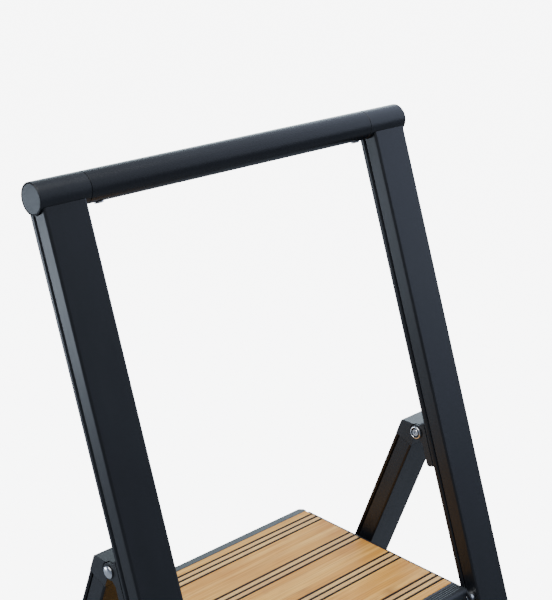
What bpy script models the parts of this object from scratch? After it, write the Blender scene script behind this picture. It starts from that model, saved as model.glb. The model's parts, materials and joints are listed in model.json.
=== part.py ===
"""Slim folding step stool with a hand rail and two bamboo treads, modelled open.

X runs across the stool, Y to its rear and Z up, in metres, with the origin on the floor
under the middle of the feet. The two front rails lean back and carry the hand rail. The rear
legs hang from brackets behind the rails, and the treads turn on studs in the rails.
"""
import math

import bmesh
import bpy
from mathutils import Matrix, Vector

# front frame
HALF_WIDTH = 0.220
RAIL_WIDTH = 0.0435
RAIL_DEPTH = 0.0225
RAIL_LEAN = math.radians(19.0)
HANDLE_RISE = 0.485
TUBE_RADIUS = 0.01425
TUBE_WALL = 0.0015
CONNECTOR_SEAM = 0.171
HANDLE_SCREW_X = 0.158

# rear frame
LEG_DEPTH = 0.0222
LEG_LEAN = math.radians(21.3)
HINGE_RISE = 0.1657
HINGE_SETBACK = 0.0127
BOSS_RADIUS = 0.0080
CHEEK = 0.0025
CROSS_TUBE_RADIUS = 0.009

# treads
TREAD_LEVEL = 0.500
STEP_PITCH = 0.250
CROSS_TUBE_DROP = 0.030
TREAD_FRONT = 0.006
TREAD_REAR = 0.2452
NOSING = 0.0188
REAR_TRIM = 0.0084
BOARD_HALF = 0.1663
BOARD_THICK = 0.018
RIB_PITCH = 0.0078
RIB_WIDTH = 0.0020
GROUP_PITCH = 0.0583
REAR_GROUP = 0.2190
WEB_INNER = 0.1679
WEB_OUTER = 0.1701
PIVOT_DROP = 0.012
PIVOT_DEPTH = 0.011
TIE_REACH = 0.110
TIE_DROP = 0.018
TIE_HALF_HEIGHT = 0.006

# extrusion details shared by the rails and the legs
WALL = 0.0018
GROOVE_WIDTH = 0.0022
GROOVE_DEPTH = 0.0026
RAIL_GROOVE = 0.0150
LEG_GROOVE = 0.0166

SHOE = 0.002
GAP = 0.0003
SMALL_ROUND = 16
MEDIUM_ROUND = 20
LARGE_ROUND = 36

# worked out from the driving dimensions
RAIL_X = HALF_WIDTH - RAIL_WIDTH / 2
RAIL_INNER = HALF_WIDTH - RAIL_WIDTH
TREAD_S = TREAD_LEVEL / math.cos(RAIL_LEAN)
HANDLE_S = TREAD_S + HANDLE_RISE
HINGE_S = TREAD_S + HINGE_RISE
HINGE_D = RAIL_DEPTH + HINGE_SETBACK
HINGE_Z = HINGE_S * math.cos(RAIL_LEAN) - HINGE_D * math.sin(RAIL_LEAN)
HINGE_RUN = HINGE_S * math.sin(RAIL_LEAN) + HINGE_D * math.cos(RAIL_LEAN)
TOE = -SHOE / math.cos(RAIL_LEAN)
HEEL = HINGE_RUN + HINGE_Z * math.tan(LEG_LEAN) + (LEG_DEPTH + SHOE) / math.cos(LEG_LEAN)
RAIL_Y = -(TOE + HEEL) / 2
SIDES = (("left", -1), ("right", 1))


# ---- materials ----

def finish(name, colour, roughness, metallic):
    material = bpy.data.materials.new(name)
    material.use_nodes = True
    shader = material.node_tree.nodes["Principled BSDF"]
    shader.inputs["Base Color"].default_value = (*colour, 1.0)
    shader.inputs["Roughness"].default_value = roughness
    shader.inputs["Metallic"].default_value = metallic
    material.diffuse_color = (*colour, 1.0)
    return material


# ---- mesh tools ----

def add_piece(name, mesh_source, parent, material, place=None):
    bmesh.ops.remove_doubles(mesh_source, verts=mesh_source.verts, dist=1e-6)
    bmesh.ops.recalc_face_normals(mesh_source, faces=mesh_source.faces)
    mesh = bpy.data.meshes.new(name)
    mesh_source.to_mesh(mesh)
    mesh_source.free()
    piece = bpy.data.objects.new(name, mesh)
    bpy.context.collection.objects.link(piece)
    piece.parent = parent
    if place is not None:
        piece.location = place
    mesh.materials.append(material)
    mesh.shade_smooth()
    mesh.set_sharp_from_angle(angle=math.radians(35))
    return piece


def prism(loops, low, high, across=False):
    """Fill the first loop less the others, and run it from low to high along Z, or X if across."""
    solid = bmesh.new()
    edges = []
    for loop in loops:
        ring = [solid.verts.new((u, v, low)) for u, v in loop]
        edges += [solid.edges.new((ring[i - 1], ring[i])) for i in range(len(ring))]
    bmesh.ops.triangle_fill(solid, use_beauty=True, edges=edges)
    grown = bmesh.ops.extrude_face_region(solid, geom=solid.faces[:])["geom"]
    moved = [item for item in grown if isinstance(item, bmesh.types.BMVert)]
    bmesh.ops.translate(solid, verts=moved, vec=(0, 0, high - low))
    if across:
        turn = Matrix(((0, 0, 1, 0), (1, 0, 0, 0), (0, 1, 0, 0), (0, 0, 0, 1)))
        bmesh.ops.transform(solid, matrix=turn, verts=solid.verts)
    return solid


def turned(profile, steps=SMALL_ROUND, closed=False, axis="X"):
    """Spin (radius, distance) points round X, or round Z with axis Z."""
    solid = bmesh.new()
    chain = [solid.verts.new((along, radius, 0)) for radius, along in profile]
    edges = [solid.edges.new(pair) for pair in zip(chain, chain[1:])]
    if closed:
        edges.append(solid.edges.new((chain[-1], chain[0])))
    bmesh.ops.spin(solid, geom=chain + edges, axis=(1, 0, 0), cent=(0, 0, 0),
                   angle=math.tau, steps=steps, use_merge=True)
    bmesh.ops.remove_doubles(solid, verts=solid.verts, dist=1e-6)
    if axis == "Z":
        bmesh.ops.rotate(solid, verts=solid.verts, matrix=Matrix.Rotation(-math.pi / 2, 3, "Y"))
    return solid


def loft(layers):
    """Join rings of four corners in turn, and close both ends."""
    solid = bmesh.new()
    rings = [[solid.verts.new(corner) for corner in layer] for layer in layers]
    for below, above in zip(rings, rings[1:]):
        for i in range(4):
            solid.faces.new((below[i - 1], below[i], above[i], above[i - 1]))
    solid.faces.new(rings[0])
    solid.faces.new(rings[-1])
    return solid


def rectangle(x0, x1, d0, d1, s):
    return [(x0, d0, s), (x1, d0, s), (x1, d1, s), (x0, d1, s)]


def arc(centre, radius, start, end, steps):
    """Points on a circle from start to end, in degrees."""
    points = []
    for i in range(steps + 1):
        angle = math.radians(start + (end - start) * i / steps)
        points.append((centre[0] + radius * math.cos(angle), centre[1] + radius * math.sin(angle)))
    return points


def circle(centre, radius, steps=SMALL_ROUND):
    return arc(centre, radius, 0, 360, steps)[:-1]


def rounded(corners, steps=3):
    """An outline of (u, v, radius) corners, each corner with a radius turned into an arc."""
    points = []
    for i, (u, v, radius) in enumerate(corners):
        corner = Vector((u, v))
        if radius == 0:
            points.append((u, v))
            continue
        before = (Vector(corners[i - 1][:2]) - corner).normalized()
        after = (Vector(corners[(i + 1) % len(corners)][:2]) - corner).normalized()
        half = before.angle(after) / 2
        centre = corner + (before + after).normalized() * radius / math.sin(half)
        first = corner + before * radius / math.tan(half) - centre
        last = corner + after * radius / math.tan(half) - centre
        for k in range(steps + 1):
            point = centre + first.lerp(last, k / steps).normalized() * radius
            points.append((point.x, point.y))
    return points


def combine(piece, other, operation):
    """Join another shape to a piece or cut it away, with the shape hidden."""
    modifier = piece.modifiers.new(other.name, "BOOLEAN")
    modifier.operation = operation
    modifier.solver = "EXACT"
    modifier.object = other
    other.hide_render = True
    other.display_type = "WIRE"


def soften(piece, width, segments=2):
    modifier = piece.modifiers.new("softened_edges", "BEVEL")
    modifier.width = width
    modifier.segments = segments
    modifier.limit_method = "ANGLE"
    modifier.angle_limit = math.radians(50)


def rod(name, radius, x0, x1, parent, place, steps=SMALL_ROUND):
    """A hidden round cutter along X."""
    shape = turned([(0, x0), (radius, x0), (radius, x1), (0, x1)], steps)
    return add_piece(name, shape, parent, BLACK, place)


# ---- sections and outlines ----

def extrusion_section(side, depth, groove):
    """A hollow bar's section, with one groove and a fine step along each side face."""
    half = RAIL_WIDTH / 2
    step = 0.00035
    outer = []
    for sign in (1, -1):
        run = [(0.0105, half), (0.0108, half - step), (groove, half - step),
               (groove, half - GROOVE_DEPTH), (groove + GROOVE_WIDTH, half - GROOVE_DEPTH),
               (groove + GROOVE_WIDTH, half)]
        corners = [(sign * half, 0, 0.002)] + [(sign * x, d, 0) for d, x in run]
        corners.append((sign * half, depth, 0.001))
        outer += corners if sign == 1 else corners[::-1]
    hollow_half = half - WALL - step
    neck_half = half - WALL - GROOVE_DEPTH
    neck = groove - WALL
    hollow = [(hollow_half, WALL), (hollow_half, neck), (neck_half, neck),
              (neck_half, depth - WALL), (-neck_half, depth - WALL), (-neck_half, neck),
              (-hollow_half, neck), (-hollow_half, WALL)]
    shift = side * RAIL_X
    section = [(u + shift, v) for u, v in rounded(outer)]
    return [section, [(u + shift, v) for u, v in hollow]]


def spigot_rectangle(side, depth, s):
    """The block that fills a bar's end, clear of its walls."""
    half = RAIL_WIDTH / 2 - WALL - GROOVE_DEPTH - GAP
    return rectangle(side * RAIL_X - half, side * RAIL_X + half, WALL + GAP, depth - WALL - GAP, s)


def screw_port_section(radius):
    """A round bar with a screw port held by three webs, as extruded."""
    port = 0.0027
    hub = 0.0046
    inner = radius - 0.0014
    loops = [circle((0, 0), radius, 24), circle((0, 0), port)]
    for k in range(3):
        start = 120 * k + 10
        end = start + 100
        loops.append(arc((0, 0), inner, start, end, 6) + arc((0, 0), hub, end, start, 4))
    return loops


def domed_head(radius, height, shank, seat, end):
    """A domed screw's profile: the head stands on seat and the shank runs to end."""
    out = 1 if seat > end else -1
    dome = []
    for k in range(4):
        angle = math.radians(90 * k / 3)
        dome.append((radius * math.sin(angle), seat + out * (0.0006 + height * math.cos(angle))))
    return dome + [(radius, seat), (shank, seat), (shank, end), (0, end)]


def tread_rows():
    """The middle of each grip rib, from the rail's front face at the tread's level."""
    rows = []
    for group in range(4):
        for k in (-1, 0, 1):
            rows.append(REAR_GROUP - GROUP_PITCH * group + RIB_PITCH * k)
    return sorted(rows)


# ---- front frame: rails, hand rail, cross bar and feet ----

def front_frame(frame):
    foot_top = 0.030
    rail_top = HANDLE_S - 0.0085
    handle_d = RAIL_DEPTH / 2
    bar_s = 0.060
    tube = add_piece("handle_tube", turned([
        (TUBE_RADIUS, GAP - CONNECTOR_SEAM), (TUBE_RADIUS, CONNECTOR_SEAM - GAP),
        (TUBE_RADIUS - TUBE_WALL, CONNECTOR_SEAM - GAP),
        (TUBE_RADIUS - TUBE_WALL, GAP - CONNECTOR_SEAM)], LARGE_ROUND, closed=True),
        frame, BLACK, (0, handle_d, HANDLE_S))
    for side_name, side in SIDES:
        rail = add_piece("rail_" + side_name, prism(
            extrusion_section(side, RAIL_DEPTH, RAIL_GROOVE), foot_top + GAP, rail_top - GAP),
            frame, BLACK)

        end = HALF_WIDTH + 0.0026
        spigot = TUBE_RADIUS - TUBE_WALL - GAP
        connector = add_piece("handle_connector_" + side_name, turned([
            (0, side * (end - 0.0006)), (0.0131, side * (end - 0.0006)), (0.0133, side * end),
            (0.0138, side * end), (TUBE_RADIUS, side * (end - 0.0005)),
            (TUBE_RADIUS, side * CONNECTOR_SEAM), (spigot, side * CONNECTOR_SEAM),
            (spigot, side * 0.150), (0, side * 0.150)], LARGE_ROUND),
            frame, MOULDED, (0, handle_d, HANDLE_S))
        plug = add_piece("connector_plug_" + side_name, loft([
            spigot_rectangle(side, RAIL_DEPTH, HANDLE_S),
            spigot_rectangle(side, RAIL_DEPTH, HANDLE_S - 0.046)]), frame, MOULDED)
        combine(connector, plug, "UNION")
        saddle = rod("rail_saddle_" + side_name, TUBE_RADIUS + GAP, side * (RAIL_INNER - 0.01),
                     side * (HALF_WIDTH + 0.01), frame, (0, handle_d, HANDLE_S), LARGE_ROUND)
        combine(rail, saddle, "DIFFERENCE")

        seat = HANDLE_S - TUBE_RADIUS - GAP
        screw_place = (side * HANDLE_SCREW_X, handle_d, seat)
        add_piece("handle_screw_" + side_name, turned(
            domed_head(0.0042, 0.0013, 0.0015, 0, 0.008)[:-1] + [(0, 0.008)], axis="Z"),
            frame, STEEL, screw_place)
        hole = turned([(0, -0.002), (0.0018, -0.002), (0.0018, 0.0085), (0, 0.0085)], axis="Z")
        screw_hole = add_piece("screw_hole_" + side_name, hole, frame, BLACK, screw_place)
        combine(tube, screw_hole, "DIFFERENCE")
        combine(connector, screw_hole, "DIFFERENCE")

        tangent = math.tan(RAIL_LEAN)
        inner = side * RAIL_X - RAIL_WIDTH / 2 - SHOE
        outer = side * RAIL_X + RAIL_WIDTH / 2 + SHOE
        depths = (-SHOE, -SHOE, RAIL_DEPTH + SHOE, RAIL_DEPTH + SHOE)
        sole = [(x, d, d * tangent) for x, d in zip((inner, outer, outer, inner), depths)]
        foot = add_piece("front_foot_" + side_name, loft([
            sole, rectangle(inner, outer, -SHOE, RAIL_DEPTH + SHOE, foot_top),
            spigot_rectangle(side, RAIL_DEPTH, foot_top),
            spigot_rectangle(side, RAIL_DEPTH, foot_top + 0.018)]), frame, RUBBER)
        soften(foot, 0.0008)

        screw_x = (side * (HALF_WIDTH + GAP), side * (RAIL_INNER - 0.014))
        add_piece("cross_bar_screw_" + side_name, turned(
            domed_head(0.0048, 0.0018, 0.0024, screw_x[0], screw_x[1])),
            frame, STEEL, (0, handle_d, bar_s))
        hole = rod("bar_screw_hole_" + side_name, 0.0028, side * 0.17, side * 0.23, frame,
                   (0, handle_d, bar_s))
        combine(rail, hole, "DIFFERENCE")

        rivet_s = HINGE_S - 0.026
        rivet_hole = add_piece("rivet_hole_" + side_name, turned(
            [(0, 0.015), (0.0019, 0.015), (0.0019, 0.032), (0, 0.032)]), frame, BLACK,
            (side * RAIL_X, 0, rivet_s))
        rivet_hole.rotation_euler = (0, 0, math.pi / 2)
        combine(rail, rivet_hole, "DIFFERENCE")
        bracket = hinge_bracket(side_name, side, frame)
        combine(bracket, rivet_hole, "DIFFERENCE")
        head = RAIL_DEPTH + GAP + CHEEK + GAP
        rivet = add_piece("bracket_rivet_" + side_name, turned(
            domed_head(0.0034, 0.0009, 0.0016, head, 0.0175)), frame, STEEL,
            (side * RAIL_X, 0, rivet_s))
        rivet.rotation_euler = (0, 0, math.pi / 2)

        for tread_name, level in (("top", TREAD_LEVEL), ("lower", TREAD_LEVEL - STEP_PITCH)):
            pivot_s = pivot_on_rail(level)
            stud_end = side * (RAIL_INNER + 0.006)
            add_piece(tread_name + "_tread_stud_" + side_name, turned([
                (0, side * WEB_INNER), (0.0035, side * WEB_INNER),
                (0.0035, side * (WEB_OUTER + GAP)), (0.007, side * (WEB_OUTER + GAP)),
                (0.007, side * (RAIL_INNER - GAP)), (0.0035, side * (RAIL_INNER - GAP)),
                (0.0035, stud_end), (0, stud_end)]), frame, STEEL, (0, PIVOT_DEPTH, pivot_s))
            hole = rod(tread_name + "_stud_hole_" + side_name, 0.0038, side * 0.17,
                       side * (RAIL_INNER + 0.005), frame, (0, PIVOT_DEPTH, pivot_s))
            combine(rail, hole, "DIFFERENCE")

    section = [[(v + handle_d, u + bar_s) for u, v in loop] for loop in (
        rounded([(-0.011, -0.0085, 0.002), (0.011, -0.0085, 0.002), (0.011, 0.0085, 0.002),
                 (-0.011, 0.0085, 0.002)]), circle((0, 0), 0.0027),
        *[[(side * u, v) for u, v in ((0.0045, -0.007), (0.0095, -0.007), (0.0095, 0.007),
                                      (0.0045, 0.007))] for side in (-1, 1)])]
    add_piece("front_cross_bar", prism(section, GAP - RAIL_INNER, RAIL_INNER - GAP, across=True),
              frame, BLACK)


def pivot_on_rail(level):
    """How far up the rail a tread's pivot lies, for a tread whose top is at this level."""
    return (level - PIVOT_DROP + PIVOT_DEPTH * math.sin(RAIL_LEAN)) / math.cos(RAIL_LEAN)


# ---- hinges: a bracket riveted behind each rail, its bolt, its sleeve nut and the bush ----

def hinge_bracket(side_name, side, frame):
    back = RAIL_DEPTH + GAP
    foot = HINGE_S - 0.037
    outline = rounded([(back, foot, 0), (back + 0.0080, foot, 0.003),
                       (back + 0.0080, HINGE_S - 0.013, 0)])
    outline += arc((HINGE_D, HINGE_S), BOSS_RADIUS, -100, 125, 16)
    outline += [(back, HINGE_S + 0.0090)]
    half = RAIL_WIDTH / 2
    bracket = add_piece("hinge_bracket_" + side_name, prism(
        [outline, circle((HINGE_D, HINGE_S), 0.0043, MEDIUM_ROUND)],
        side * RAIL_X - half, side * RAIL_X + half, across=True), frame, MOULDED)
    inside = half - CHEEK
    room = add_piece("bracket_room_" + side_name, prism(
        [[(back + CHEEK, foot - 0.01), (back + 0.04, foot - 0.01),
          (back + 0.04, HINGE_S + 0.02), (back + CHEEK, HINGE_S + 0.02)]],
        side * RAIL_X - inside, side * RAIL_X + inside, across=True), frame, MOULDED)
    combine(bracket, room, "DIFFERENCE")
    return bracket


def hinge_fasteners(side_name, side, frame):
    place = (0, HINGE_D, HINGE_S)
    inner = side * (RAIL_INNER - GAP)
    shoulder = side * 0.2055
    profile = domed_head(0.0058, 0.0020, 0.0039, side * (HALF_WIDTH + GAP), shoulder)[:-1]
    profile += [(0.0028, shoulder), (0.0028, side * 0.188), (0, side * 0.188)]
    add_piece("pivot_bolt_" + side_name, turned(profile, MEDIUM_ROUND), frame, STEEL, place)
    barrel_end = side * 0.2052
    add_piece("pivot_nut_" + side_name, turned([
        (0, inner + side * 0.0004), (0.0030, inner + side * 0.0004), (0.0034, inner - side * 0.0016),
        (0.0040, inner - side * 0.0021), (0.0060, inner - side * 0.0021),
        (0.0067, inner - side * 0.0014), (0.0067, inner), (0.0039, inner), (0.0039, barrel_end),
        (0.0031, barrel_end), (0.0031, side * 0.187), (0, side * 0.187)], MEDIUM_ROUND),
        frame, STEEL, place)


# ---- rear frame: legs, caps, feet and cross tubes, turning on the hinge axis ----

def rear_frame(frame):
    cap_foot = -0.019
    foot_top = 0.022 - HINGE_Z / math.cos(LEG_LEAN)
    half = RAIL_WIDTH / 2
    tube_d = LEG_DEPTH / 2
    tube_places = {"upper": tube_on_leg(TREAD_LEVEL - CROSS_TUBE_DROP), "lower": tube_on_leg(0.070)}
    for side_name, side in SIDES:
        leg = add_piece("leg_" + side_name, prism(
            extrusion_section(side, LEG_DEPTH, LEG_GROOVE), foot_top + GAP, cap_foot - GAP),
            frame, BLACK)
        lean = math.degrees(LEG_LEAN)
        rear_top = (BOSS_RADIUS - LEG_DEPTH * math.sin(LEG_LEAN)) / math.cos(LEG_LEAN)
        outline = [(0, cap_foot)] + arc((0, 0), BOSS_RADIUS, 270, 90 - lean, 16)
        outline += [(LEG_DEPTH - 0.0012, rear_top + 0.0005), (LEG_DEPTH, rear_top - 0.0010),
                    (LEG_DEPTH, cap_foot)]
        cap = add_piece("leg_cap_" + side_name, prism(
            [outline, circle((0, 0), 0.0057, MEDIUM_ROUND)], side * RAIL_X - half, side * RAIL_X + half,
            across=True), frame, MOULDED)
        plug = add_piece("cap_plug_" + side_name, loft([
            spigot_rectangle(side, LEG_DEPTH, cap_foot + 0.004),
            spigot_rectangle(side, LEG_DEPTH, cap_foot - 0.026)]), frame, MOULDED)
        combine(cap, plug, "UNION")
        pocket_depth = CHEEK + 2 * GAP
        for face_name, x in (("inner", -half), ("outer", half)):
            start = side * RAIL_X + x - 0.001 if x < 0 else side * RAIL_X + x - pocket_depth
            pocket = rod("cap_pocket_" + side_name + "_" + face_name, BOSS_RADIUS + 0.0008,
                         start, start + pocket_depth + 0.001, frame, (0, 0, 0), LARGE_ROUND)
            combine(cap, pocket, "DIFFERENCE")
        start = side * RAIL_X - half + pocket_depth
        end = side * RAIL_X + half - pocket_depth
        add_piece("hinge_bush_" + side_name, turned([
            (0.0054, start), (0.0054, end), (0.0042, end), (0.0042, start)], MEDIUM_ROUND,
            closed=True), frame, NYLON)

        inner = side * RAIL_X - half - SHOE
        outer = side * RAIL_X + half + SHOE
        depths = (-SHOE, -SHOE, LEG_DEPTH + SHOE, LEG_DEPTH + SHOE)
        floor = -HINGE_Z / math.cos(LEG_LEAN)
        sole = [(x, d, floor - d * math.tan(LEG_LEAN))
                for x, d in zip((inner, outer, outer, inner), depths)]
        foot = add_piece("rear_foot_" + side_name, loft([
            sole, rectangle(inner, outer, -SHOE, LEG_DEPTH + SHOE, foot_top),
            spigot_rectangle(side, LEG_DEPTH, foot_top),
            spigot_rectangle(side, LEG_DEPTH, foot_top + 0.018)]), frame, RUBBER)
        soften(foot, 0.0008)

        for tube_name, tube_s in tube_places.items():
            seat = side * (HALF_WIDTH + GAP)
            add_piece(tube_name + "_tube_screw_" + side_name, turned(
                domed_head(0.0048, 0.0018, 0.0024, seat, side * (RAIL_INNER - 0.014))),
                frame, STEEL, (0, tube_d, tube_s))
            hole = rod(tube_name + "_screw_hole_" + side_name, 0.0028, side * 0.17, side * 0.23,
                       frame, (0, tube_d, tube_s))
            combine(leg, hole, "DIFFERENCE")
    for tube_name, tube_s in tube_places.items():
        add_piece(tube_name + "_cross_tube", prism(
            screw_port_section(CROSS_TUBE_RADIUS), GAP - RAIL_INNER, RAIL_INNER - GAP,
            across=True), frame, BLACK, (0, tube_d, tube_s))


def tube_on_leg(height):
    """How far along the leg, from the hinge axis, a tube in the middle of it has this height."""
    return (height - HINGE_Z - LEG_DEPTH / 2 * math.sin(LEG_LEAN)) / math.cos(LEG_LEAN)


# ---- treads: board, grip inlay, nosing, rear trim and end cheeks ----

def tread(name, frame, back_of_pivot):
    """One tread, with its pivot at the origin; back_of_pivot is how far the pivot lies back."""
    top = PIVOT_DROP
    bottom = top - BOARD_THICK
    front = TREAD_FRONT - back_of_pivot
    rear = TREAD_REAR - back_of_pivot
    rows = [y - back_of_pivot for y in tread_rows()]
    board_front = front + NOSING + GAP
    board_rear = rear - REAR_TRIM - GAP
    slot = RIB_WIDTH / 2 + GAP
    slot_foot = top - 0.0036
    outline = [(board_front, bottom), (board_front, top)]
    for y in rows:
        outline += [(y - slot, top), (y - slot, slot_foot), (y + slot, slot_foot), (y + slot, top)]
    outline += [(board_rear, top), (board_rear, bottom)]
    add_piece(name + "_board", prism([outline], -BOARD_HALF, BOARD_HALF, across=True),
              frame, BAMBOO)
    add_piece(name + "_grip_inlay", grip_inlay(rows, top), frame, GRIP)

    lip = 0.012
    under = bottom - GAP
    nosing = add_piece(name + "_nosing", prism([
        rounded([(front, top, 0.004), (front + NOSING, top, 0), (front + NOSING, under, 0),
                 (front + NOSING + lip, under, 0), (front + NOSING + lip, under - 0.0018, 0),
                 (front, under - 0.0018, 0.003)], 4),
        rounded([(front + 0.0028, bottom + 0.0035, 0.001), (front + 0.0155, bottom + 0.0035, 0.001),
                 (front + 0.0155, top - 0.0028, 0.001), (front + 0.0028, top - 0.0028, 0.001)], 2)],
        -WEB_INNER + GAP, WEB_INNER - GAP, across=True), frame, MOULDED)
    trim = add_piece(name + "_rear_trim", rear_trim(rear, top, under, lip), frame, MOULDED)
    for piece in (nosing, trim):
        soften(piece, 0.0003, 1)

    for side_name, side in SIDES:
        edge = top - 0.0014
        foot = -TIE_DROP - 0.0075
        rear_foot = bottom - 0.0025
        outline = arc((0, 0), 0.0080, 240, 110, 10) + rounded([
            (front + 0.002, edge, 0), (board_rear, edge, 0.003), (board_rear, rear_foot, 0.003),
            (TIE_REACH + 0.034, rear_foot, 0.006), (TIE_REACH + 0.015, foot, 0.006),
            (TIE_REACH - 0.013, foot, 0.006), (0.030, rear_foot, 0.006)])
        low, high = sorted((side * WEB_INNER, side * WEB_OUTER))
        cheek = add_piece(name + "_cheek_" + side_name, prism(
            [outline, circle((0, 0), 0.0038), circle((TIE_REACH, -TIE_DROP), 0.0027)],
            low, high, across=True), frame, MOULDED)
        reach = (side * (WEB_INNER - 0.024), side * (WEB_INNER + 0.001))
        flange = add_piece(name + "_flange_shape_" + side_name, loft([
            rectangle(*reach, board_front + lip + 0.002, board_rear - lip - 0.002, under),
            rectangle(*reach, board_front + lip + 0.002, board_rear - lip - 0.002,
                      under - 0.0018)]), frame, MOULDED)
        combine(cheek, flange, "UNION")

        head = side * (WEB_OUTER + GAP + 0.0022 + 2 * GAP)
        inboard = side * (WEB_INNER - GAP)
        add_piece(name + "_tie_rivet_" + side_name, turned([
            (0, head + side * 0.0012), (0.0030, head + side * 0.0012), (0.0044, head + side * 0.0006),
            (0.0044, head), (0.0024, head), (0.0024, inboard), (0.0040, inboard),
            (0.0040, inboard - side * 0.0012), (0, inboard - side * 0.0012)]),
            frame, STEEL, (0, TIE_REACH, -TIE_DROP))


def grip_inlay(rows, top):
    """Twelve ribs across the board, joined by a bar down each end of it."""
    half = RIB_WIDTH / 2
    columns = [-BOARD_HALF - 0.0013, -BOARD_HALF - GAP, BOARD_HALF + GAP, BOARD_HALF + 0.0013]
    lines = [edge for y in rows for edge in (y - half, y + half)]
    plate = bmesh.new()
    grid = [[plate.verts.new((x, y, top - 0.0033)) for x in columns] for y in lines]
    for j in range(len(lines) - 1):
        for i in range(3):
            if j % 2 == 0 or i != 1:
                plate.faces.new((grid[j][i], grid[j][i + 1], grid[j + 1][i + 1], grid[j + 1][i]))
    grown = bmesh.ops.extrude_face_region(plate, geom=plate.faces[:])["geom"]
    verts = [item for item in grown if isinstance(item, bmesh.types.BMVert)]
    bmesh.ops.translate(plate, verts=verts, vec=(0, 0, 0.0017))
    ribs = [face for face in grown if isinstance(face, bmesh.types.BMFace)
            and any(abs(face.calc_center_median().y - y) < half for y in rows)]
    raised = bmesh.ops.extrude_face_region(plate, geom=ribs)["geom"]
    bmesh.ops.delete(plate, geom=ribs, context="FACES_ONLY")
    verts = [item for item in raised if isinstance(item, bmesh.types.BMVert)]
    bmesh.ops.translate(plate, verts=verts, vec=(0, 0, 0.0020))
    return plate


def rear_trim(rear, top, under, lip):
    """The rear edge's extrusion, with its two outer corners rounded in plan."""
    start = rear - REAR_TRIM
    solid = prism([[(rear, top), (rear, under - 0.0018), (start - lip, under - 0.0018),
                    (start - lip, under), (start, under), (start, top)]],
                  -WEB_INNER + GAP, WEB_INNER - GAP, across=True)
    bmesh.ops.recalc_face_normals(solid, faces=solid.faces)
    ends = []
    for edge in solid.edges:
        first, last = (vert.co for vert in edge.verts)
        upright = abs(first.x - last.x) < 1e-6 and abs(first.y - last.y) < 1e-6
        if upright and abs(first.y - rear) < 1e-6:
            ends.append(edge)
    bmesh.ops.bevel(solid, geom=ends, offset=0.0045, affect="EDGES", segments=5, profile=0.5,
                    material=-1)
    return solid


def tread_catches(frame, back_of_pivot):
    """Two saddles under the top tread that sit on the upper cross tube and hook behind it."""
    tube_y, tube_z = tube_from_tread_pivot(back_of_pivot)
    seat = CROSS_TUBE_RADIUS + GAP
    under = PIVOT_DROP - BOARD_THICK - GAP
    outline = arc((tube_y, tube_z), seat, 140, 0, 10)
    outline += [(tube_y + seat, tube_z - 0.006), (tube_y + seat + 0.0035, tube_z - 0.006)]
    outline += [(tube_y + seat + 0.0045, tube_z), (tube_y + 0.024, under), (tube_y - 0.022, under)]
    outline += [(tube_y - 0.022, under - 0.003)]
    for side_name, side in SIDES:
        low, high = sorted((side * 0.105, side * 0.135))
        catch = add_piece("tread_catch_" + side_name, prism([outline], low, high, across=True),
                          frame, NYLON)
        soften(catch, 0.0005)


def tube_from_tread_pivot(back_of_pivot):
    """Where the upper cross tube lies from the top tread's pivot, in Y and Z."""
    along = tube_on_leg(TREAD_LEVEL - CROSS_TUBE_DROP)
    leg_y = RAIL_Y + HINGE_RUN - along * math.sin(LEG_LEAN) + LEG_DEPTH / 2 * math.cos(LEG_LEAN)
    rail_front = RAIL_Y + TREAD_LEVEL * math.tan(RAIL_LEAN)
    return leg_y - rail_front - back_of_pivot, PIVOT_DROP - CROSS_TUBE_DROP


def tie_bar(side_name, side, frame, length):
    """A flat bar from the top tread's rivet down to the lower tread's, parallel to the rails."""
    x = side * (WEB_OUTER + 2 * GAP)
    low, high = sorted((x, x + side * 0.0022))
    outline = arc((0, 0), TIE_HALF_HEIGHT, 0, 180, 10)
    outline += arc((0, -length), TIE_HALF_HEIGHT, 180, 360, 10)
    bar = add_piece("tie_bar_" + side_name, prism(
        [outline, circle((0, 0), 0.0027), circle((0, -length), 0.0027)], low, high,
        across=True), frame, MOULDED)
    bar.rotation_euler = (-RAIL_LEAN, 0, 0)


def empty(name, place, turn=0.0):
    mark = bpy.data.objects.new(name, None)
    mark.empty_display_size = 0.03
    bpy.context.collection.objects.link(mark)
    mark.location = place
    mark.rotation_euler = (turn, 0, 0)
    return mark


for leftover in list(bpy.data.objects):
    bpy.data.objects.remove(leftover, do_unlink=True)

BLACK = finish("satin_black_anodised", (0.022, 0.024, 0.028), 0.36, 0.75)
MOULDED = finish("moulded_charcoal", (0.028, 0.032, 0.038), 0.42, 0.0)
STEEL = finish("bright_steel", (0.62, 0.63, 0.65), 0.22, 1.0)
RUBBER = finish("black_rubber", (0.015, 0.015, 0.016), 0.75, 0.0)
BAMBOO = finish("bamboo", (0.60, 0.42, 0.23), 0.5, 0.0)
GRIP = finish("grip_rubber", (0.025, 0.018, 0.014), 0.7, 0.0)
NYLON = finish("grey_nylon", (0.10, 0.10, 0.105), 0.5, 0.0)

front = empty("front_frame", (0, RAIL_Y, 0), -RAIL_LEAN)
front_frame(front)
for side_name, side in SIDES:
    hinge_fasteners(side_name, side, front)
rear_frame(empty("rear_frame", (0, RAIL_Y + HINGE_RUN, HINGE_Z), LEG_LEAN))

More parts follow.
